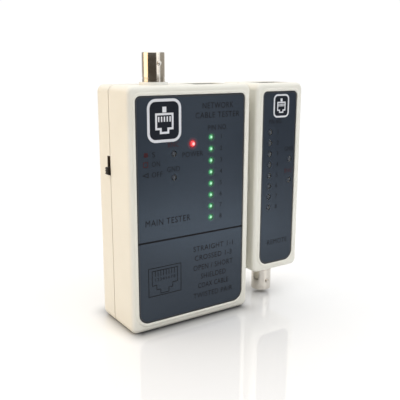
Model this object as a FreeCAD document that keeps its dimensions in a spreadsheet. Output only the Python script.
import FreeCAD, Part
import math
import os
import re
import Sketcher

# A network cable tester: the main unit, with its remote docked on a rail at its right side.
# Millimetres. +X is to the right of the faces, +Y goes from the faces to the back, +Z is up.
# The origin is the middle of the docked pair's underside: the middle of its box, at the floor.

DIMENSIONS = {
    # both cases
    "depth": 28.5, "front_depth": 16.6, "face_wall": 2.4, "side_wall": 2.0, "back_wall": 2.0,
    "corner": 3.0, "edge": 1.8, "seam_gap": 0.4, "case_gap": 3.6, "fit_gap": 0.3,
    "main_width": 60.8, "main_height": 103.6,
    "remote_width": 27.3, "remote_height": 88.7, "remote_base": 14.9,
    # label plates, set into recesses
    "recess": 0.6, "label_sink": 0.1, "label_gap": 0.15, "main_label_low": 3.9, "remote_label_low": 18.4,
    "main_label_width": 54.0, "main_label_height": 95.8, "main_label_toe": 4.7,
    "remote_label_width": 20.0, "remote_label_height": 81.5, "remote_label_toe": 2.3, "label_head": 2.2,
    # lamps
    "lamp_radius": 1.2, "lamp_flange": 1.6, "lamp_flange_height": 0.9, "lamp_play": 0.1,
    "power_radius": 1.5, "dome_out": 0.8, "pin_low": 46.2, "pin_pitch": 5.05, "pin_count": 8,
    "main_pin_shift": 9.35, "remote_pin_shift": -5.4,
    "power_shift": -0.25, "power_level": 79.4, "main_lamp_shift": -9.4, "main_lamp_low": 65.9,
    "main_lamp_high": 75.9, "remote_lamp_shift": 6.8, "remote_lamp_low": 58.2, "remote_lamp_high": 68.2,
    # circuit boards
    "board_front": 3.9, "board_thick": 1.6, "board_inset": 0.9, "main_board_low": 45.0,
    "remote_board_low": 19.0, "board_head_gap": 1.8,
    # screws
    "post_radius": 3.1, "post_play": 0.3, "case_screw_radius": 1.1, "screw_head_radius": 2.2,
    "screw_head_height": 1.6, "counterbore_radius": 2.6, "counterbore_depth": 7.6, "case_screw_length": 16.0,
    "main_post_shift": 24.9, "main_post_low": 41.0, "main_post_high": 94.0,
    "remote_post_shift": 3.4, "remote_post_low": 42.0, "remote_post_high": 77.0,
    "board_screw_radius": 0.9, "board_screw_head": 1.9, "board_screw_head_height": 1.2,
    "board_screw_length": 4.4, "standoff_radius": 2.2,
    "main_screw_left": 18.5, "main_screw_low": 51.0, "main_screw_right": 21.0, "main_screw_high": 60.0,
    "remote_screw_left": 8.0, "remote_screw_low": 38.0, "remote_screw_right": 7.0, "remote_screw_high": 83.0,
    # RJ45 sockets
    "jack_width": 15.9, "jack_depth": 11.6, "jack_length": 18.0, "jack_sink": 0.3, "jack_play": 0.2,
    "jack_wall": 1.6, "mouth_width": 11.9, "mouth_depth": 7.0, "mouth_length": 13.2,
    "latch_width": 6.4, "latch_depth": 2.0, "main_jack_shift": 12.9, "remote_jack_shift": 1.3,
    "wire_pitch": 1.02, "wire_width": 0.45, "wire_thick": 0.3, "wire_length": 8.0, "wire_count": 8,
    # bayonet jacks: heights are from the case wall that the jack leaves
    "bnc_axis": 11.25, "main_bnc_shift": -12.25, "remote_bnc_shift": 0.6,
    "barrel_radius": 4.825, "barrel_bore": 4.15, "barrel_out": 13.1, "barrel_in": 7.0, "bore_deep": 8.5,
    "lug_radius": 1.0, "lug_reach": 5.5, "lug_back": 4.4, "collar_radius": 6.0, "collar_out": 1.1,
    "collar_play": 0.2, "block_width": 12.4, "block_depth": 11.5, "block_length": 16.0, "block_back": 2.5,
    "insulator_radius": 2.5, "insulator_back": 2.7, "pin_radius": 1.1, "pin_hole": 0.68, "pin_back": 3.3,
    "pin_in": 9.0, "pin_hole_deep": 5.0,
    # slide switch
    "knob_out": 1.4, "knob_low": 66.5, "knob_height": 3.2, "knob_width": 2.4, "knob_in": 5.2,
    "slot_low": 66.2, "slot_height": 8.2, "slot_width": 2.9, "switch_low": 61.6, "switch_height": 17.4,
    "switch_width": 6.0, "switch_thick": 5.0, "switch_skin": 0.3, "cavity_deep": 3.6, "rib_thick": 1.0,
    "terminal_width": 0.8, "terminal_thick": 0.5, "terminal_pitch": 4.0, "terminal_count": 3,
    # docking rail
    "rail_back": 5.4, "neck_half": 1.5, "head_half": 3.0, "head_thick": 1.6, "slot_lip": 1.5,
    "slot_wall": 1.2, "rail_low": 34.0, "rail_top": 84.0, "stop_gap": 0.1,
    # battery compartment
    "well_width": 51.5, "well_low": 4.5, "well_height": 27.2, "well_wall": 1.2, "well_floor": 4.6,
    "door_low": 3.6, "door_width": 53.2, "door_height": 32.9, "door_gap": 0.25, "door_land": 0.25,
    "battery_long": 46.4, "battery_tall": 26.5, "battery_thick": 17.5, "battery_edge": 2.2,
    "battery_left": 0.4, "pad_thick": 1.5, "pad_width": 30.0, "pad_height": 12.0,
    "stud_pitch": 12.7, "small_stud": 2.9, "large_stud": 4.1, "stud_height": 2.1,
    "snap_thick": 4.2, "snap_width": 13.0, "snap_tall": 25.5, "snap_gap": 0.2, "snap_play": 0.1,
    "lead_radius": 0.6, "lead_spread": 3.0, "lead_bend": 2.4, "lead_leave": 3.5, "lead_drop": 9.0,
    "lead_shift": 17.0, "lead_rise": 8.75, "notch_width": 8.0, "notch_back": 6.0, "notch_deep": 8.0,
    "hook_width": 6.0, "hook_thick": 1.2, "hook_reach": 2.0, "hook_root": 1.5, "hook_spread": 18.0,
    "grip_width": 16.0, "grip_pitch": 1.6, "grip_count": 5, "grip_deep": 0.5, "grip_thick": 0.8, "grip_low": 3.0,
    # parts on the boards
    "chip_long": 19.3, "chip_wide": 6.4, "chip_tall": 3.3, "chip_up": 0.5, "chip_shift": -9.3,
    "chip_low": 54.0, "chip_step": 13.0, "leg_pitch": 2.54, "leg_count": 8, "leg_wide": 0.5, "leg_out": 0.7,
    "resistor_radius": 1.15, "resistor_long": 6.3, "resistor_shift": 2.2, "component_up": 0.2,
    "capacitor_radius": 3.15, "capacitor_tall": 11.0, "capacitor_shift": 21.0, "capacitor_level": 75.0,
    "diode_radius": 0.95, "diode_long": 4.2, "diode_shift": -7.6,
}

doc = FreeCAD.newDocument("CableTester")
sheet = doc.addObject("Spreadsheet::Sheet", "Dims")
for row, (alias, size) in enumerate(DIMENSIONS.items(), start=1):
    sheet.set(f"A{row}", alias)
    sheet.set(f"B{row}", str(size))
    sheet.setAlias(f"B{row}", alias)
doc.recompute()

# Places that follow from the sheet, as expressions of its dimension names.
BACK = "(depth + dome_out) / 2"
FACE = f"({BACK} - depth)"
SEAM = f"({FACE} + front_depth)"
BACK_IN = f"({BACK} - back_wall)"
BOARD_FRONT = f"({FACE} + board_front)"
BOARD_REAR = f"({BOARD_FRONT} + board_thick)"
BNC_Y = f"({FACE} + bnc_axis)"
RAIL_Y = f"({SEAM} + rail_back)"
SWITCH_Y = f"({SEAM} + slot_width / 2)"
LABEL_Y = f"({FACE} + label_sink)"
OVERALL = "(knob_out + main_width + case_gap + remote_width)"
RIGHT, UP, TO_BACK, TO_FACE = "+X", "+Z", "+Y", "-Y"


class Unit:
    """One of the two cases: where it lies, and what differs between them, as sheet expressions."""

    def __init__(self, name, left, base, port_up):
        self.name = name
        self.left = f"({left})"
        self.base = base
        self.right = f"({self.left} + {name}_width)"
        self.mid = f"({self.left} + {name}_width / 2)"
        self.top = f"({base} + {name}_height)"
        self.pins = f"({self.mid} + {name}_pin_shift)"
        self.lamps = f"({self.mid} + {name}_lamp_shift)"
        self.jack = f"({self.mid} + {name}_jack_shift)"
        self.port = f"({self.mid} + {name}_bnc_shift)"
        self.port_up = port_up

    def along_port(self, start, length):
        """The lower Z of a piece that starts `start` outside the port's wall and is `length` long."""
        if self.port_up:
            return f"{self.top} + ({start})"
        return f"{self.base} - ({start}) - ({length})"

    def posts(self):
        """The case screws: four on the main unit, two on the narrow remote."""
        shifts = ("-", "+") if self.name == "main" else ("+",)
        levels = (f"{self.name}_post_low", f"{self.name}_post_high")
        return [(f"{self.mid} {side} {self.name}_post_shift", level) for side in shifts for level in levels]

    def board_screws(self):
        """The two screws that hold the circuit board."""
        return [(f"{self.mid} - {self.name}_screw_left", f"{self.name}_screw_low"),
                (f"{self.mid} + {self.name}_screw_right", f"{self.name}_screw_high")]

    def lamp_places(self):
        """Every small lamp, as (x, z): the pin column, and the two indicators."""
        column = [(self.pins, f"pin_low + {i} * pin_pitch") for i in range(int(value("pin_count")))]
        return column, [(self.lamps, f"{self.name}_lamp_low"), (self.lamps, f"{self.name}_lamp_high")]


def dims(text):
    """Turn bare dimension names into references to the sheet."""
    return re.sub(r"[a-z][a-z_]*", lambda word: "Dims." + word.group(), str(text))


def value(text):
    return float(sheet.evalExpression(dims(text)))


MAIN = Unit("main", f"knob_out - {OVERALL} / 2", "0", True)
REMOTE = Unit("remote", f"{OVERALL} / 2 - remote_width", "remote_base", False)

nodes = []


def node(piece, label):
    """Give a finished piece its node name."""
    piece.Label = label
    nodes.append(piece)
    return piece


# ---- solids from primitives ----

TURNS = {
    UP: FreeCAD.Rotation(),
    RIGHT: FreeCAD.Rotation(FreeCAD.Vector(0, 1, 0), 90),
    TO_BACK: FreeCAD.Rotation(FreeCAD.Vector(1, 0, 0), -90),
    TO_FACE: FreeCAD.Rotation(FreeCAD.Vector(1, 0, 0), 90),
}


def place(piece, at):
    for axis, text in zip("xyz", at):
        piece.setExpression(f"Placement.Base.{axis}", dims(text))
    return piece


def box(name, at, size):
    """A block with its lowest corner at `at`."""
    piece = doc.addObject("Part::Box", name)
    for edge, text in zip(("Length", "Width", "Height"), size):
        piece.setExpression(edge, dims(text))
    return place(piece, at)


def middle_box(name, middle, size):
    """A block centred in X and Y on `middle`, standing on its Z."""
    x, y, z = middle
    return box(name, (f"{x} - ({size[0]}) / 2", f"{y} - ({size[1]}) / 2", z), size)


def cylinder(name, at, radius, length, way=UP):
    """A round bar from `at`, in the direction `way`."""
    piece = doc.addObject("Part::Cylinder", name)
    piece.setExpression("Radius", dims(radius))
    piece.setExpression("Height", dims(length))
    piece.Placement.Rotation = TURNS[way]
    return place(piece, at)


def ball(name, at, radius):
    piece = doc.addObject("Part::Sphere", name)
    piece.setExpression("Radius", dims(radius))
    return place(piece, at)


def fuse(name, pieces):
    piece = doc.addObject("Part::MultiFuse", name)
    piece.Shapes = pieces
    piece.Refine = True
    return piece


def cut(name, base, tools):
    piece = doc.addObject("Part::Cut", name)
    piece.Base = base
    piece.Tool = tools[0] if len(tools) == 1 else fuse(name + "_tools", tools)
    return piece


def group(name, pieces):
    """Separate solids that share one node."""
    piece = doc.addObject("Part::Compound", name)
    piece.Links = pieces
    return piece


def rounded(name, base, radius, wanted):
    """Round the edges of `base` that `wanted` picks."""
    doc.recompute()
    size = value(radius)
    piece = doc.addObject("Part::Fillet", name)
    piece.Base = base
    piece.Edges = [(i, size, size) for i, edge in enumerate(base.Shape.Edges, start=1) if wanted(edge)]
    return piece


# ---- solids from sketches ----

def new_body(label):
    body = doc.addObject("PartDesign::Body", label)
    return node(body, label)


def sketch_on(body, role, level):
    """An empty sketch parallel to the body's plane, `level` along that plane's own axis."""
    sketch = body.newObject("Sketcher::SketchObject", f"{body.Name}_sketch")
    plane = next(item for item in body.Origin.OriginFeatures if item.Role == role)
    sketch.AttachmentSupport = [(plane, "")]
    sketch.MapMode = "FlatFace"
    sign = "-" if role == "XZ_Plane" else ""
    sketch.setExpression("AttachmentOffset.Base.z", dims(f"{sign}({level})"))
    return sketch


def hold(sketch, text, kind, *where):
    """A dimension of the sketch that follows the sheet."""
    index = sketch.addConstraint(Sketcher.Constraint(kind, *where, value(text)))
    sketch.setExpression(f"Constraints[{index}]", dims(text))


def point(x, y):
    return FreeCAD.Vector(x, y, 0)


def rectangle(sketch, left, low, width, height):
    """A plain rectangle, held by its lower left corner and its two sizes."""
    x, y = value(left), value(low)
    corners = [point(x, y), point(x + value(width), y),
               point(x + value(width), y + value(height)), point(x, y + value(height))]
    first = sketch.GeometryCount
    for i in range(4):
        sketch.addGeometry(Part.LineSegment(corners[i], corners[(i + 1) % 4]), False)
    for i in range(4):
        sketch.addConstraint(Sketcher.Constraint("Coincident", first + i, 2, first + (i + 1) % 4, 1))
        sketch.addConstraint(Sketcher.Constraint("Vertical" if i % 2 else "Horizontal", first + i))
    hold(sketch, width, "DistanceX", first, 1, first, 2)
    hold(sketch, height, "DistanceY", first + 1, 1, first + 1, 2)
    hold(sketch, left, "DistanceX", -1, 1, first, 1)
    hold(sketch, low, "DistanceY", -1, 1, first, 1)


def rounded_rectangle(sketch, left, low, width, height, toe, head):
    """A rectangle with corner radii `toe` at the bottom and `head` at the top."""
    x0, y0, x1, y1 = value(left), value(low), value(left) + value(width), value(low) + value(height)
    radii = [value(toe), value(toe), value(head), value(head)]
    corners = [(x0, y0), (x1, y0), (x1, y1), (x0, y1)]
    ways = [(1, 0), (0, 1), (-1, 0), (0, -1)]
    first = sketch.GeometryCount
    for i in range(4):
        (ax, ay), (bx, by), (wx, wy) = corners[i], corners[(i + 1) % 4], ways[i]
        start, end = radii[i], radii[(i + 1) % 4]
        side = Part.LineSegment(point(ax + wx * start, ay + wy * start), point(bx - wx * end, by - wy * end))
        centre = point(bx - wx * end - wy * end, by - wy * end + wx * end)
        turn = (i - 1) * math.pi / 2
        circle = Part.Circle(centre, point(0, 0) + FreeCAD.Vector(0, 0, 1), end)
        sketch.addGeometry(side, False)
        sketch.addGeometry(Part.ArcOfCircle(circle, turn, turn + math.pi / 2), False)
    for i in range(4):
        line, arc, after = first + 2 * i, first + 2 * i + 1, first + (2 * i + 2) % 8
        sketch.addConstraint(Sketcher.Constraint("Tangent", line, 2, arc, 1))
        sketch.addConstraint(Sketcher.Constraint("Tangent", arc, 2, after, 1))
        sketch.addConstraint(Sketcher.Constraint("Vertical" if i % 2 else "Horizontal", line))
        hold(sketch, head if i in (1, 2) else toe, "Radius", arc)
    hold(sketch, width, "DistanceX", first + 6, 1, first + 2, 1)
    hold(sketch, height, "DistanceY", first, 1, first + 4, 1)
    hold(sketch, left, "DistanceX", -1, 1, first + 6, 1)
    hold(sketch, low, "DistanceY", -1, 1, first, 1)


def circles(sketch, places, radius):
    """Equal circles at the given places."""
    for x, y in places:
        at = point(value(x), value(y))
        index = sketch.addGeometry(Part.Circle(at, FreeCAD.Vector(0, 0, 1), value(radius)), False)
        hold(sketch, radius, "Radius", index)
        hold(sketch, x, "DistanceX", -1, 1, index, 3)
        hold(sketch, y, "DistanceY", -1, 1, index, 3)


def polygon(sketch, corners):
    """A closed outline of straight sides, each corner held by the sheet."""
    points = [point(value(x), value(y)) for x, y in corners]
    first = sketch.GeometryCount
    count = len(points)
    for i in range(count):
        sketch.addGeometry(Part.LineSegment(points[i], points[(i + 1) % count]), False)
    for i in range(count):
        sketch.addConstraint(Sketcher.Constraint("Coincident", first + i, 2, first + (i + 1) % count, 1))
        hold(sketch, corners[i][0], "DistanceX", -1, 1, first + i, 1)
        hold(sketch, corners[i][1], "DistanceY", -1, 1, first + i, 1)


def volume(body):
    return body.Shape.Volume if body.Tip else 0.0


def pad(body, sketch, length, reverse=False):
    """Add material along the sketch's axis, or against it."""
    before = volume(body)
    feature = body.newObject("PartDesign::Pad", f"{body.Name}_pad")
    feature.Profile = sketch
    feature.setExpression("Length", dims(length))
    feature.Reversed = reverse
    doc.recompute()
    if volume(body) <= before:
        raise ValueError(f"{feature.Name} adds nothing")


def pocket(body, sketch, length, reverse=False):
    """Remove material against the sketch's axis, or along it."""
    before = volume(body)
    feature = body.newObject("PartDesign::Pocket", f"{body.Name}_pocket")
    feature.Profile = sketch
    feature.setExpression("Length", dims(length))
    feature.Reversed = reverse
    doc.recompute()
    if volume(body) >= before:
        raise ValueError(f"{feature.Name} removes nothing")


def fillet(body, radius, wanted):
    """Round the body's edges that `wanted` picks."""
    base = body.Tip
    names = [f"Edge{i}" for i, edge in enumerate(base.Shape.Edges, start=1) if wanted(edge)]
    feature = body.newObject("PartDesign::Fillet", f"{body.Name}_fillet")
    feature.Base = (base, names)
    feature.setExpression("Radius", dims(radius))
    doc.recompute()


def runs_along(axis):
    """Picks the straight edges parallel to an axis, given as 0, 1 or 2."""
    def wanted(edge):
        if len(edge.Vertexes) != 2:
            return False
        step = edge.Vertexes[1].Point - edge.Vertexes[0].Point
        return all(abs(step[i]) < 1e-6 for i in range(3) if i != axis)
    return wanted


def lies_at(axis, level):
    """Picks the edges that lie wholly at one height along an axis."""
    height = value(level)
    low, high = ("XMin", "YMin", "ZMin")[axis], ("XMax", "YMax", "ZMax")[axis]

    def wanted(edge):
        span = edge.BoundBox
        return abs(getattr(span, low) - height) < 1e-4 and abs(getattr(span, high) - height) < 1e-4
    return wanted


# ---- the two cases ----

def inner_rectangle(unit, sketch):
    """The inside of a case, seen from the front."""
    rectangle(sketch, f"{unit.left} + side_wall", f"{unit.base} + side_wall",
              f"{unit.name}_width - 2 * side_wall", f"{unit.name}_height - 2 * side_wall")


def cut_ports(unit, body):
    """The holes for the RJ45 socket, in the top wall, and the bayonet jack, in its own wall."""
    mouth = sketch_on(body, "XY_Plane", unit.top)
    rectangle(mouth, f"{unit.jack} - jack_width / 2 - jack_play", f"{BOARD_REAR} - jack_play",
              "jack_width + 2 * jack_play", "jack_depth + 2 * jack_play")
    pocket(body, mouth, "side_wall + 0.5")
    wall = unit.top if unit.port_up else unit.base
    hole = sketch_on(body, "XY_Plane", wall)
    circles(hole, [(unit.port, BNC_Y)], "collar_radius + collar_play")
    pocket(body, hole, "side_wall + 0.5", reverse=not unit.port_up)


def label_rectangle(unit, sketch, grow):
    """The outline of a label plate, or of its recess when grown by the label's gap."""
    name = unit.name
    rounded_rectangle(sketch, f"{unit.mid} - {name}_label_width / 2 - {grow}", f"{name}_label_low - {grow}",
                      f"{name}_label_width + 2 * {grow}", f"{name}_label_height + 2 * {grow}",
                      f"{name}_label_toe + {grow}", f"label_head + {grow}")


def lamp_holes(unit, body, level, deep):
    """Round holes for the lamps, cut from `level` towards the back."""
    column, pair = unit.lamp_places()
    sketch = sketch_on(body, "XZ_Plane", level)
    circles(sketch, column + pair, "lamp_radius + lamp_play")
    pocket(body, sketch, deep)
    if unit is MAIN:
        sketch = sketch_on(body, "XZ_Plane", level)
        circles(sketch, [(f"{unit.mid} + power_shift", "power_level")], "power_radius + lamp_play")
        pocket(body, sketch, deep)


def front_shell(unit):
    body = new_body(f"{unit.name}_front_shell")
    outline = sketch_on(body, "XZ_Plane", SEAM)
    rectangle(outline, unit.left, unit.base, f"{unit.name}_width", f"{unit.name}_height")
    pad(body, outline, "front_depth")
    fillet(body, "corner", runs_along(1))
    fillet(body, "edge", lies_at(1, FACE))
    inside = sketch_on(body, "XZ_Plane", SEAM)
    inner_rectangle(unit, inside)
    pocket(body, inside, "front_depth - face_wall", reverse=True)
    posts = sketch_on(body, "XZ_Plane", SEAM)
    circles(posts, unit.posts(), "post_radius")
    pad(body, posts, "front_depth - face_wall / 2")
    pilots = sketch_on(body, "XZ_Plane", SEAM)
    circles(pilots, unit.posts(), "case_screw_radius")
    pocket(body, pilots, "case_screw_length - 3", reverse=True)
    standoffs = sketch_on(body, "XZ_Plane", BOARD_FRONT)
    circles(standoffs, unit.board_screws(), "standoff_radius")
    pad(body, standoffs, "board_front - face_wall / 2")
    holes = sketch_on(body, "XZ_Plane", BOARD_FRONT)
    circles(holes, unit.board_screws(), "board_screw_radius")
    pocket(body, holes, "board_screw_length - board_thick", reverse=True)
    recess = sketch_on(body, "XZ_Plane", FACE)
    label_rectangle(unit, recess, "label_gap")
    pocket(body, recess, "recess")
    lamp_holes(unit, body, FACE, "face_wall + 0.1")
    cut_ports(unit, body)
    return body


def rear_shell_blank(unit):
    """The rear half of a case, hollow, with screw posts and a shadow line along its seam."""
    body = new_body(f"{unit.name}_rear_shell")
    outline = sketch_on(body, "XZ_Plane", SEAM)
    rectangle(outline, unit.left, unit.base, f"{unit.name}_width", f"{unit.name}_height")
    pad(body, outline, "depth - front_depth", reverse=True)
    fillet(body, "corner", runs_along(1))
    fillet(body, "edge", lies_at(1, BACK))
    inside = sketch_on(body, "XZ_Plane", SEAM)
    inner_rectangle(unit, inside)
    pocket(body, inside, "depth - front_depth - back_wall")
    groove = sketch_on(body, "XZ_Plane", SEAM)
    rectangle(groove, f"{unit.left} - 1", f"{unit.base} - 1", f"{unit.name}_width + 2", f"{unit.name}_height + 2")
    rounded_rectangle(groove, f"{unit.left} + seam_gap", f"{unit.base} + seam_gap",
                      f"{unit.name}_width - 2 * seam_gap", f"{unit.name}_height - 2 * seam_gap",
                      "corner - seam_gap", "corner - seam_gap")
    pocket(body, groove, "seam_gap")
    posts = sketch_on(body, "XZ_Plane", SEAM)
    circles(posts, unit.posts(), "post_radius")
    pad(body, posts, "depth - front_depth - back_wall / 2", reverse=True)
    heads = sketch_on(body, "XZ_Plane", BACK)
    circles(heads, unit.posts(), "counterbore_radius")
    pocket(body, heads, "counterbore_depth", reverse=True)
    shanks = sketch_on(body, "XZ_Plane", BACK)
    circles(shanks, unit.posts(), "case_screw_radius")
    pocket(body, shanks, "depth - front_depth", reverse=True)
    cut_ports(unit, body)
    return body


def main_rear_shell():
    body = rear_shell_blank(MAIN)
    # the battery well: a box on the inside of the back wall, opened from the back
    well = sketch_on(body, "XZ_Plane", f"{BACK} - back_wall / 2")
    rectangle(well, f"{MAIN.mid} - well_width / 2 - well_wall", "well_low - well_wall",
              "well_width + 2 * well_wall", "well_height + 2 * well_wall")
    pad(body, well, f"{BACK} - back_wall / 2 - {FACE} - well_floor - well_wall")
    hollow = sketch_on(body, "XZ_Plane", BACK)
    rectangle(hollow, f"{MAIN.mid} - well_width / 2", "well_low", "well_width", "well_height")
    pocket(body, hollow, f"{BACK} - {FACE} - well_floor - 2 * well_wall", reverse=True)
    opening = sketch_on(body, "XZ_Plane", BACK)
    rectangle(opening, f"{MAIN.mid} - door_width / 2", "door_low", "door_width", "door_height")
    pocket(body, opening, "back_wall + door_land", reverse=True)
    notch = sketch_on(body, "XZ_Plane", f"{BACK_IN} - notch_back")
    rectangle(notch, f"{MAIN.mid} + well_width / 2 - notch_width", "well_low + well_height - 0.5",
              "notch_width", "well_wall + 1")
    pocket(body, notch, "notch_deep", reverse=True)
    # the switch slot, beside the seam in the left wall, and the two ribs that hold the switch
    slot = sketch_on(body, "YZ_Plane", MAIN.left)
    rectangle(slot, f"{SEAM} - 0.5", "slot_low", "slot_width + 0.5", "slot_height")
    pocket(body, slot, "side_wall + 0.5", reverse=True)
    ribs = sketch_on(body, "YZ_Plane", f"{MAIN.left} + side_wall / 2")
    for low in ("switch_low - rib_thick", "switch_low + switch_height"):
        rectangle(ribs, f"{SEAM} + 0.4", low, f"{BACK} - back_wall / 2 - {SEAM} - 0.4", "rib_thick")
    pad(body, ribs, "side_wall / 2 + switch_thick")
    # the docking rail: a T standing on the right wall
    rail = sketch_on(body, "XY_Plane", "rail_low")
    neck = f"{MAIN.right} + case_gap + slot_lip + fit_gap"
    start = f"{MAIN.right} - side_wall / 2"
    polygon(rail, [(start, f"{RAIL_Y} - neck_half"), (neck, f"{RAIL_Y} - neck_half"),
                   (neck, f"{RAIL_Y} - head_half"), (f"{neck} + head_thick", f"{RAIL_Y} - head_half"),
                   (f"{neck} + head_thick", f"{RAIL_Y} + head_half"), (neck, f"{RAIL_Y} + head_half"),
                   (neck, f"{RAIL_Y} + neck_half"), (start, f"{RAIL_Y} + neck_half")])
    pad(body, rail, "rail_top - rail_low")
    return body


def remote_rear_shell():
    body = rear_shell_blank(REMOTE)
    # the housing of the docking slot, then the T-shaped slot, open at the bottom
    housing = sketch_on(body, "XY_Plane", "remote_base + side_wall / 2")
    cavity = "(head_thick + 2 * fit_gap)"
    rectangle(housing, f"{REMOTE.left} + side_wall / 2", f"{RAIL_Y} - head_half - fit_gap - slot_wall",
              f"slot_lip + {cavity} + slot_wall - side_wall / 2",
              f"{BACK} - back_wall / 2 - ({RAIL_Y} - head_half - fit_gap - slot_wall)")
    pad(body, housing, "rail_top + stop_gap + slot_wall - remote_base - side_wall / 2")
    mouth = sketch_on(body, "XY_Plane", "remote_base")
    lip = f"{REMOTE.left} + slot_lip"
    neck_half, head_half = "(neck_half + fit_gap)", "(head_half + fit_gap)"
    polygon(mouth, [(f"{REMOTE.left} - 1", f"{RAIL_Y} - {neck_half}"), (lip, f"{RAIL_Y} - {neck_half}"),
                    (lip, f"{RAIL_Y} - {head_half}"), (f"{lip} + {cavity}", f"{RAIL_Y} - {head_half}"),
                    (f"{lip} + {cavity}", f"{RAIL_Y} + {head_half}"), (lip, f"{RAIL_Y} + {head_half}"),
                    (lip, f"{RAIL_Y} + {neck_half}"), (f"{REMOTE.left} - 1", f"{RAIL_Y} + {neck_half}")])
    pocket(body, mouth, "rail_top + stop_gap - remote_base", reverse=True)
    return body


def label(unit):
    """The dark plate that fills most of the label recess, with a hole for each lamp."""
    body = new_body(f"{unit.name}_label")
    outline = sketch_on(body, "XZ_Plane", f"{FACE} + recess")
    label_rectangle(unit, outline, "0")
    pad(body, outline, "recess - label_sink")
    lamp_holes(unit, body, LABEL_Y, "recess")
    return body


# ---- lamps and boards ----

def lamp(name, x, z, radius, tip):
    """One lamp: a flange on the board, a round body, and a dome that ends at `tip`."""
    flange = cylinder(name + "_flange", (x, BOARD_FRONT, z), f"{radius} + lamp_flange - lamp_radius",
                      "lamp_flange_height", TO_FACE)
    stem = cylinder(name + "_stem", (x, BOARD_FRONT, z), radius, f"{BOARD_FRONT} - ({tip}) - {radius}", TO_FACE)
    dome = ball(name + "_dome", (x, f"({tip}) + {radius}", z), radius)
    return fuse(name, [flange, stem, dome])


def lamps(unit):
    column, pair = unit.lamp_places()
    name = unit.name
    pins = [lamp(f"{name}_pin_{i}", x, z, "lamp_radius", FACE) for i, (x, z) in enumerate(column, start=1)]
    node(group(f"{name}_pins", pins), f"{name}_pin_leds")
    others = [lamp(f"{name}_lamp_{i}", x, z, "lamp_radius", FACE) for i, (x, z) in enumerate(pair, start=1)]
    node(group(f"{name}_lamps", others), f"{name}_indicator_leds")


def power_led():
    piece = lamp("power_lamp", f"{MAIN.mid} + power_shift", "power_level", "power_radius", f"{FACE} - dome_out")
    node(piece, "power_led")


def circuit_board(unit):
    """A board behind the face, cleared round the case posts and drilled for its own screws."""
    name = unit.name
    low = f"{name}_board_low"
    blank = box(f"{name}_board_blank",
                (f"{unit.left} + side_wall + board_inset", BOARD_FRONT, low),
                (f"{name}_width - 2 * side_wall - 2 * board_inset", "board_thick",
                 f"{unit.top} - side_wall - board_head_gap - {low}"))
    around = [cylinder(f"{name}_post_way_{i}", (x, f"{BOARD_FRONT} - 1", z), "post_radius + post_play",
                       "board_thick + 2", TO_BACK) for i, (x, z) in enumerate(unit.posts())]
    drilled = [cylinder(f"{name}_drill_{i}", (x, f"{BOARD_FRONT} - 1", z), "board_screw_radius",
                        "board_thick + 2", TO_BACK) for i, (x, z) in enumerate(unit.board_screws())]
    node(cut(f"{name}_board", blank, around + drilled), f"{name}_circuit_board")


def screw(name, x, z, seat, head_radius, head_height, radius, length):
    """A round-headed screw driven towards the face, its head resting at Y `seat`."""
    head = cylinder(name + "_head", (x, seat, z), head_radius, head_height, TO_BACK)
    shank = cylinder(name + "_shank", (x, seat, z), radius, length, TO_FACE)
    whole = fuse(name, [head, shank])
    socket = [box(f"{name}_drive_{way}", (f"{x} - {wide} / 2", f"{seat} + {head_height} * 0.4", f"{z} - {tall} / 2"),
                  (wide, head_height, tall))
              for way, wide, tall in (("across", f"{head_radius}", "0.5"), ("upright", "0.5", f"{head_radius}"))]
    return cut(name + "_driven", whole, socket)


def screws(unit):
    name = unit.name
    seat = f"({BACK} - counterbore_depth)"
    case = [screw(f"{name}_case_screw_{i}", f"({x})", f"({z})", seat, "screw_head_radius", "screw_head_height",
                  "case_screw_radius", "case_screw_length") for i, (x, z) in enumerate(unit.posts(), start=1)]
    node(group(f"{name}_case_screw_set", case), f"{name}_case_screws")
    board = [screw(f"{name}_board_screw_{i}", f"({x})", f"({z})", BOARD_REAR, "board_screw_head",
                   "board_screw_head_height", "board_screw_radius", "board_screw_length")
             for i, (x, z) in enumerate(unit.board_screws(), start=1)]
    node(group(f"{name}_board_screw_set", board), f"{name}_board_screws")


# ---- sockets ----

def jack(unit):
    """An RJ45 socket that opens upwards, its latch side towards the back, with eight spring wires."""
    name = unit.name
    top = f"({unit.top} - jack_sink)"
    middle = f"({BOARD_REAR} + jack_depth / 2)"
    block = middle_box(f"{name}_jack_block", (unit.jack, middle, f"{top} - jack_length"),
                       ("jack_width", "jack_depth", "jack_length"))
    mouth = box(f"{name}_jack_mouth",
                (f"{unit.jack} - mouth_width / 2", f"{BOARD_REAR} + jack_wall", f"{top} - mouth_length"),
                ("mouth_width", "mouth_depth", "mouth_length + 1"))
    latch = box(f"{name}_jack_latch",
                (f"{unit.jack} - latch_width / 2", f"{BOARD_REAR} + jack_wall + mouth_depth - 1",
                 f"{top} - mouth_length"),
                ("latch_width", "latch_depth + 1", "mouth_length + 1"))
    node(cut(f"{name}_jack", block, [mouth, latch]), f"{name}_jack_housing")

    wires = []
    for i in range(int(value("wire_count"))):
        place_x = f"{unit.jack} + ({i} - (wire_count - 1) / 2) * wire_pitch - wire_width / 2"
        wire = box(f"{name}_wire_{i + 1}", (place_x, f"{BOARD_REAR} + jack_wall + 0.4", f"{top} - 3"),
                   ("wire_width", "wire_thick", "wire_length"))
        wire.Placement.Rotation = FreeCAD.Rotation(FreeCAD.Vector(1, 0, 0), 180 + 12)
        wires.append(wire)
    node(group(f"{name}_wires", wires), f"{name}_jack_contacts")


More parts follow.
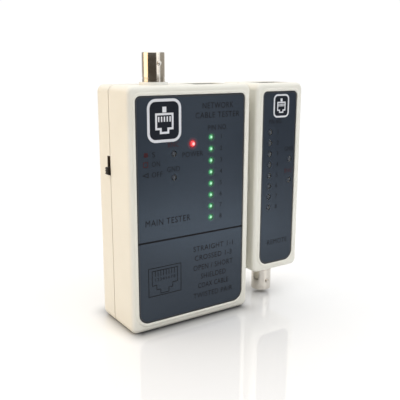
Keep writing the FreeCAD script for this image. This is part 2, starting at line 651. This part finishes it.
def bayonet_jack(unit):
    """A bayonet jack: plated barrel with two lugs, plastic collar and block, insulator and contact."""
    name = unit.name

    def bar(part, start, length, radius):
        return cylinder(f"{name}_{part}", (unit.port, BNC_Y, unit.along_port(start, length)), radius, length)

    barrel = bar("barrel_tube", "0 - barrel_in", "barrel_in + barrel_out", "barrel_radius")
    lug_level = unit.along_port("barrel_out - lug_back", "0")
    lugs = cylinder(f"{name}_lugs", (unit.port, f"{BNC_Y} - lug_reach", lug_level), "lug_radius",
                    "2 * lug_reach", TO_BACK)
    bore = bar("barrel_bore", "barrel_out - bore_deep", "bore_deep + 1", "barrel_bore")
    core = bar("barrel_core", "0 - barrel_in - 1", "barrel_in + barrel_out", "insulator_radius")
    rimmed = rounded(f"{name}_barrel_rim", barrel, "lug_radius * 0.3",
                     lies_at(2, unit.along_port("barrel_out", "0")))
    node(cut(f"{name}_barrel", fuse(f"{name}_lugged", [rimmed, lugs]), [bore, core]), f"{name}_bnc_barrel")

    block = middle_box(f"{name}_block", (unit.port, BNC_Y, unit.along_port("0 - block_back - block_length",
                                                                         "block_length")),
                       ("block_width", "block_depth", "block_length"))
    neck = bar("neck", "0 - block_back - 1", "block_back + 1 + collar_out", "collar_radius")
    seat = bar("barrel_seat", "0 - barrel_in", "barrel_in + collar_out + 1", "barrel_radius")
    way = bar("contact_way", "0 - pin_in", "pin_in", "pin_radius")
    node(cut(f"{name}_collar", fuse(f"{name}_collar_blank", [block, neck]), [seat, way]), f"{name}_bnc_collar")

    sleeve = bar("insulator_bar", "0 - barrel_in", "barrel_in + barrel_out - insulator_back", "insulator_radius")
    hole = bar("insulator_hole", "0 - barrel_in - 1", "barrel_in + barrel_out + 2", "pin_radius")
    node(cut(f"{name}_insulator", sleeve, [hole]), f"{name}_bnc_insulator")

    contact = bar("contact_bar", "0 - pin_in", "pin_in + barrel_out - pin_back", "pin_radius")
    tip_hole = bar("contact_hole", "barrel_out - pin_back - pin_hole_deep", "pin_hole_deep + 1", "pin_hole")
    node(cut(f"{name}_contact", contact, [tip_hole]), f"{name}_bnc_contact")


# ---- switch ----

def switch():
    knob = box("knob_bar", (f"{MAIN.left} - knob_out", f"{SWITCH_Y} - knob_width / 2", "knob_low"),
               ("knob_out + knob_in", "knob_width", "knob_height"))
    node(rounded("knob", knob, "0.3", lies_at(0, f"{MAIN.left} - knob_out")), "switch_knob")

    inner = f"({MAIN.left} + side_wall + switch_skin)"
    case = box("switch_case", (inner, f"{SWITCH_Y} - switch_width / 2", "switch_low"),
               ("switch_thick", "switch_width", "switch_height"))
    way = box("switch_way", (f"{inner} - 1", f"{SWITCH_Y} - slot_width / 2 - 0.1", "slot_low"),
              ("cavity_deep + 1", "slot_width + 0.2", "slot_height"))
    node(cut("switch_body", case, [way]), "switch_housing")

    legs = []
    for i in range(int(value("terminal_count"))):
        level = f"switch_low + switch_height / 2 + ({i} - (terminal_count - 1) / 2) * terminal_pitch"
        legs.append(box(f"terminal_{i + 1}",
                        (f"{inner} + switch_thick / 2", f"{BOARD_REAR}", f"{level} - terminal_width / 2"),
                        ("terminal_thick", f"{SWITCH_Y} - switch_width / 2 - {BOARD_REAR}", "terminal_width")))
    node(group("terminals", legs), "switch_terminals")


# ---- battery and door ----

DOOR_IN = f"({BACK} - back_wall)"
PAD_IN = f"({DOOR_IN} - pad_thick)"
BATTERY_LEFT = f"({MAIN.mid} - well_width / 2 + battery_left)"
BATTERY_LOW = "(well_low + (well_height - battery_tall) / 2)"
BATTERY_BACK = f"({PAD_IN} - fit_gap)"
BATTERY_MID_Y = f"({BATTERY_BACK} - battery_thick / 2)"
BATTERY_MID_Z = f"({BATTERY_LOW} + battery_tall / 2)"
BATTERY_END = f"({BATTERY_LEFT} + battery_long)"


def battery_door():
    """A flat door with two hooks at its top edge and a ribbed grip near its bottom edge."""
    body = new_body("battery_door")
    plate = sketch_on(body, "XZ_Plane", BACK)
    rectangle(plate, f"{MAIN.mid} - door_width / 2 + door_gap", "door_low + door_gap",
              "door_width - 2 * door_gap", "door_height - 2 * door_gap")
    pad(body, plate, "back_wall")
    edge = "(door_low + door_height - door_gap)"
    hook_out, hook_in = f"{DOOR_IN} - fit_gap", f"{DOOR_IN} - fit_gap - hook_thick"
    for side in "-+":
        hook = sketch_on(body, "YZ_Plane", f"{MAIN.mid} {side} hook_spread - hook_width / 2")
        polygon(hook, [(DOOR_IN, f"{edge} - hook_root"), (DOOR_IN, edge), (hook_out, edge),
                       (hook_out, f"{edge} + hook_reach"), (hook_in, f"{edge} + hook_reach"),
                       (hook_in, f"{edge} - hook_root")])
        pad(body, hook, "hook_width")
    grip = sketch_on(body, "XZ_Plane", BACK)
    for i in range(int(value("grip_count"))):
        rectangle(grip, f"{MAIN.mid} - grip_width / 2", f"door_low + door_gap + grip_low + {i} * grip_pitch",
                  "grip_width", "grip_thick")
    pocket(body, grip, "grip_deep", reverse=True)
    return body


def battery():
    block = box("battery_block", (BATTERY_LEFT, f"{BATTERY_BACK} - battery_thick", BATTERY_LOW),
                ("battery_long", "battery_thick", "battery_tall"))
    node(rounded("battery_can", block, "battery_edge", runs_along(0)), "battery")

    pad_piece = box("pad_block", (f"{MAIN.mid} - pad_width / 2", PAD_IN, f"{BATTERY_MID_Z} - pad_height / 2"),
                    ("pad_width", "pad_thick", "pad_height"))
    node(pad_piece, "door_pad")

    studs = [("small", "-", "small_stud"), ("large", "+", "large_stud")]
    posts = [cylinder(f"{size}_stud", (BATTERY_END, BATTERY_MID_Y, f"{BATTERY_MID_Z} {side} stud_pitch / 2"),
                      radius, "stud_height", RIGHT) for size, side, radius in studs]
    node(group("studs", posts), "battery_posts")

    cap = box("snap_cap", (f"{BATTERY_END} + snap_gap", f"{BATTERY_MID_Y} - snap_width / 2",
                           f"{BATTERY_MID_Z} - snap_tall / 2"), ("snap_thick", "snap_width", "snap_tall"))
    sockets = [cylinder(f"{size}_socket", (BATTERY_END, BATTERY_MID_Y, f"{BATTERY_MID_Z} {side} stud_pitch / 2"),
                        f"{radius} + snap_play", "stud_height + snap_gap", RIGHT) for size, side, radius in studs]
    node(cut("snap", cap, sockets), "battery_snap")


def lead(name, side):
    """A thin wire from the snap's top end, through the well's notch, to the board's back."""
    start_x = value(f"{BATTERY_END} + snap_gap + snap_thick / 2")
    y = value(f"{BATTERY_MID_Y} + {side} * lead_spread / 2")
    start_z = value(f"{BATTERY_MID_Z} + snap_tall / 2")
    end_x = value(f"{MAIN.mid} + lead_shift + {side} * lead_spread / 2")
    end_z = value("main_board_low + lead_rise")
    bend = value("lead_bend")
    route = [FreeCAD.Vector(start_x, y, start_z), FreeCAD.Vector(start_x, y, start_z + value("lead_leave")),
             FreeCAD.Vector(end_x, y, end_z - value("lead_drop")), FreeCAD.Vector(end_x, y, end_z),
             FreeCAD.Vector(end_x, value(BOARD_REAR), end_z)]
    edges = []
    last = route[0]
    for before, corner, after in zip(route, route[1:], route[2:]):
        inward = (before - corner).normalize()
        outward = (after - corner).normalize()
        half = inward.getAngle(outward) / 2
        reach = bend / math.tan(half)
        first, final = corner + inward * reach, corner + outward * reach
        middle_way = (inward + outward).normalize()
        centre = corner + middle_way * (bend / math.sin(half))
        edges.append(Part.LineSegment(last, first).toShape())
        edges.append(Part.Arc(first, centre - middle_way * bend, final).toShape())
        last = final
    edges.append(Part.LineSegment(last, route[-1]).toShape())
    wire = Part.Wire(edges)
    ring = Part.Wire([Part.Circle(route[0], FreeCAD.Vector(0, 0, 1), value("lead_radius")).toShape()])
    piece = doc.addObject("Part::Feature", name)
    piece.Shape = wire.makePipeShell([ring], True, False)
    node(piece, name)


# ---- parts on the boards ----

def main_components():
    """Two logic chips with their legs, a row of resistors beside the lamps, and a capacitor."""
    chips, legs = [], []
    for i in range(2):
        low = f"(chip_low + {i} * chip_step)"
        left = f"({MAIN.mid} + chip_shift - chip_long / 2)"
        chips.append(box(f"chip_{i + 1}", (left, f"{BOARD_REAR} + chip_up", low),
                         ("chip_long", "chip_tall", "chip_wide")))
        for k in range(int(value("leg_count"))):
            x = f"{left} + chip_long / 2 + ({k} - (leg_count - 1) / 2) * leg_pitch - leg_wide / 2"
            for end, z in (("low", f"{low} - leg_out"), ("high", f"{low} + chip_wide")):
                legs.append(box(f"leg_{i + 1}_{k + 1}_{end}", (x, BOARD_REAR, z),
                                ("leg_wide", "chip_tall / 2 + chip_up", "leg_out")))
    node(group("chips", chips), "logic_chips")
    node(group("legs", legs), "chip_legs")
    rods = [cylinder(f"resistor_{i}", (f"{x} + resistor_shift", f"{BOARD_REAR} + resistor_radius + component_up", z),
                     "resistor_radius", "resistor_long", RIGHT)
            for i, (x, z) in enumerate(MAIN.lamp_places()[0], start=1)]
    node(group("resistor_row", rods), "resistors")
    can = cylinder("capacitor_can", (f"{MAIN.mid} + capacitor_shift", BOARD_REAR, "capacitor_level"),
                   "capacitor_radius", "capacitor_tall", TO_BACK)
    node(rounded("capacitor_body", can, "0.5", lies_at(1, f"{BOARD_REAR} + capacitor_tall")), "capacitor")


def remote_diodes():
    rods = [cylinder(f"diode_{i}", (f"{REMOTE.mid} + diode_shift", f"{BOARD_REAR} + diode_radius + component_up", z),
                     "diode_radius", "diode_long", RIGHT)
            for i, (x, z) in enumerate(REMOTE.lamp_places()[0], start=1)]
    node(group("diode_row", rods), "remote_diodes")


for unit in (MAIN, REMOTE):
    front_shell(unit)
    label(unit)
    lamps(unit)
    circuit_board(unit)
    screws(unit)
    jack(unit)
    bayonet_jack(unit)
main_rear_shell()
remote_rear_shell()
power_led()
switch()
battery_door()
battery()
lead("red_lead", 1)
lead("black_lead", -1)
main_components()
remote_diodes()
doc.recompute()

for item in doc.Objects:
    if "Invalid" in item.State or "Error" in item.State:
        raise ValueError(f"{item.Label} failed: {item.State}")
for piece in nodes:
    if piece.Shape.isNull() or not piece.Shape.isValid() or not piece.Shape.Solids:
        raise ValueError(f"{piece.Label} has no valid solid")

os.makedirs("parts", exist_ok=True)
whole = FreeCAD.BoundBox()
for piece in nodes:
    piece.Shape.exportStep(f"parts/{piece.Label}.step")
    whole.add(piece.Shape.BoundBox)
    print(f"{piece.Label:24s} {len(piece.Shape.Solids):3d} solids {piece.Shape.Volume:10.1f} mm3")
print("whole box", whole)
